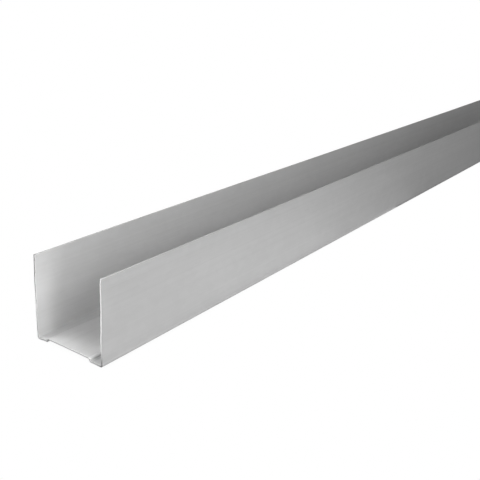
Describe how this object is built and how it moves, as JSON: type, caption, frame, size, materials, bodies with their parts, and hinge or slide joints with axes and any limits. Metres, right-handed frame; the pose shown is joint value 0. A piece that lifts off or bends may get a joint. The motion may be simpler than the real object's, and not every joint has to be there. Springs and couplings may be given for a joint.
{
  "type": "drywall ceiling track",
  "caption": "U-shaped galvanised steel ceiling track with a raised web panel, fixed round the edge of a drywall ceiling to hold the ends of the ceiling channels.",
  "frame": {"origin": "under the middle of the web at half length, on the plane of the web's two foot strips", "axes": "+Y along the length, +Z from the web towards the open side, +X across the web towards the right flange"},
  "size_m": [0.03, 3, 0.03],
  "materials": {
    "galvanised_steel": "smooth satin zinc coat on cold-rolled steel strip, bare sheared edges"
  },
  "bodies": {
    "root": {"track": "galvanised_steel"}
  },
  "joints": []
}
